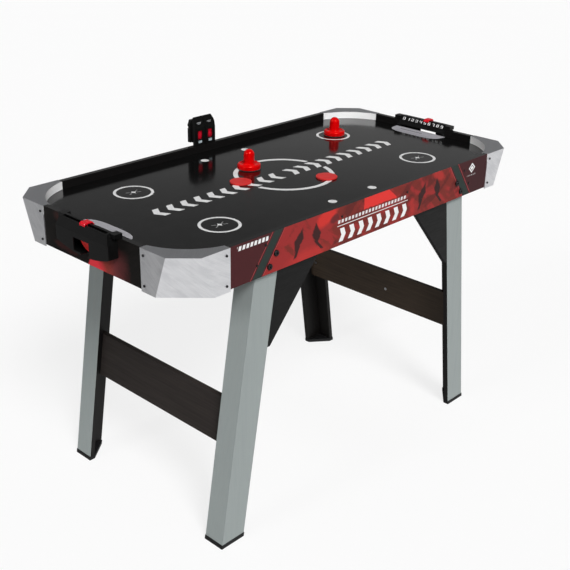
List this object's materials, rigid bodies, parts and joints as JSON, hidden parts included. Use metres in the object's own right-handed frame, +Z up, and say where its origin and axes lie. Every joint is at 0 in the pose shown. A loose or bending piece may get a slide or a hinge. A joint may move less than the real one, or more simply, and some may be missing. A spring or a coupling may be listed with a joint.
{
  "type": "air hockey table",
  "caption": "Freestanding air hockey table on splayed panel legs with faceted corner caps, goal boxes with sliding scorers, an electronic scorer, pushers and pucks.",
  "frame": {"origin": "on the floor at the centre of the footprint", "axes": "+X along the table's length towards the right goal, +Y across towards the rail with the electronic scorer, +Z up"},
  "size_m": [1.434, 0.702, 0.9525],
  "materials": {
    "black_laminate_gloss": "black gloss laminate on board, printed in light grey",
    "red_printed_board": "red and maroon printed laminate on board, black top edge",
    "dark_printed_board": "near-black printed laminate on board with a red patch",
    "raw_board": "plain board",
    "silver_plastic": "brushed silver look",
    "grey_board": "grey laminate outside, near-black inside",
    "dark_board": "black laminate with fine grain",
    "black_plastic": "satin black moulded",
    "black_steel": "black oxide",
    "bright_steel": "zinc plated",
    "number_strip": "black strip with white numerals",
    "red_plastic": "gloss moulded",
    "red_lens": "dark red window",
    "circuit_board": "glass-fibre board",
    "grey_plastic": "light grey moulded",
    "felt": "dark felt",
    "red_gloss_plastic": "bright red gloss",
    "red_puck_plastic": "red gloss"
  },
  "bodies": {
    "table": {"blower_grille": "black_plastic", "blower_housing": "black_plastic", "blower_motor": "bright_steel", "chamber_floor": "raw_board", "chamber_long_rails": "raw_board", "chamber_short_rails": "raw_board", "corner_cap_back_left": "silver_plastic", "corner_cap_back_right": "silver_plastic", "corner_cap_front_left": "silver_plastic", "corner_cap_front_right": "silver_plastic", "end_apron_left": "dark_printed_board", "end_apron_right": "dark_printed_board", "foot_cap_back_left": "black_plastic", "foot_cap_back_right": "black_plastic", "foot_cap_front_left": "black_plastic", "foot_cap_front_right": "black_plastic", "goal_housing_left": "black_plastic", "goal_housing_right": "black_plastic", "leg_bolt_nuts": "black_steel", "leg_bolts": "black_steel", "leg_brace_back_left": "dark_board", "leg_brace_back_right": "dark_board", "leg_brace_front_left": "dark_board", "leg_brace_front_right": "dark_board", "leg_end_panel_back_left": "grey_board", "leg_end_panel_back_right": "grey_board", "leg_end_panel_front_left": "grey_board", "leg_end_panel_front_right": "grey_board", "leg_side_panel_back_left": "grey_board", "leg_side_panel_back_right": "grey_board", "leg_side_panel_front_left": "grey_board", "leg_side_panel_front_right": "grey_board", "playfield": "black_laminate_gloss", "power_inlet": "black_plastic", "score_rods": "bright_steel", "score_strips": "number_strip", "scorer_back_shell": "black_plastic", "scorer_circuit_board": "circuit_board", "scorer_clamp": "black_plastic", "scorer_front_shell": "black_plastic", "scorer_lenses": "red_lens", "side_apron_back": "red_printed_board", "side_apron_front": "red_printed_board", "stretcher_left": "dark_board", "stretcher_right": "dark_board", "stretcher_screws": "bright_steel", "wood_screws": "black_steel"},
    "pusher_left": {"pusher_left": "red_gloss_plastic", "pusher_left_felt": "felt"},
    "pusher_right": {"pusher_right": "red_gloss_plastic", "pusher_right_felt": "felt"},
    "puck_left": {"puck_left": "red_puck_plastic"},
    "puck_right": {"puck_right": "red_puck_plastic"},
    "puck_in_goal": {"puck_in_goal": "red_puck_plastic"},
    "score_knob_left": {"score_knob_left": "red_plastic"},
    "score_knob_right": {"score_knob_right": "red_plastic"},
    "scorer_key_left": {"scorer_key_left": "grey_plastic"},
    "scorer_key_right": {"scorer_key_right": "grey_plastic"},
    "impeller": {"blower_impeller": "black_plastic"},
    "rocker": {"switch_rocker": "red_plastic"}
  },
  "joints": [
    {"name": "pusher_left_slide", "type": "slide", "parent": "table", "child": "pusher_left", "axis": [1, 0, 0], "range_m": [-0.581, 0.037]},
    {"name": "pusher_right_slide", "type": "slide", "parent": "table", "child": "pusher_right", "axis": [1, 0, 0], "range_m": [-0.384, 0.194]},
    {"name": "puck_left_slide", "type": "slide", "parent": "table", "child": "puck_left", "axis": [1, 0, 0], "range_m": [-0.49, 0.782]},
    {"name": "puck_right_slide", "type": "slide", "parent": "table", "child": "puck_right", "axis": [1, 0, 0], "range_m": [-0.701, 0.571]},
    {"name": "puck_in_goal_slide", "type": "slide", "parent": "table", "child": "puck_in_goal", "axis": [0, 1, 0], "range_m": [-0.037, 0.052]},
    {"name": "score_knob_left_slide", "type": "slide", "parent": "table", "child": "score_knob_left", "axis": [0, 1, 0], "range_m": [-0.078, 0.081]},
    {"name": "score_knob_right_slide", "type": "slide", "parent": "table", "child": "score_knob_right", "axis": [0, 1, 0], "range_m": [-0.068, 0.091]},
    {"name": "scorer_key_left_press", "type": "slide", "parent": "table", "child": "scorer_key_left", "axis": [0, 1, 0], "range_m": [0, 0.0015], "stiffness_N_per_m": 300, "springref_m": -0.002},
    {"name": "scorer_key_right_press", "type": "slide", "parent": "table", "child": "scorer_key_right", "axis": [0, 1, 0], "range_m": [0, 0.0015], "stiffness_N_per_m": 300, "springref_m": -0.002},
    {"name": "impeller_spin", "type": "hinge", "parent": "table", "child": "impeller", "pos_m": [0, 0, 0.781], "axis": [0, 0, 1], "continuous": true},
    {"name": "rocker_tilt", "type": "hinge", "parent": "table", "child": "rocker", "pos_m": [0.048, -0.061, 0.783], "axis": [1, 0, 0], "range_deg": [0, 24]}
  ]
}
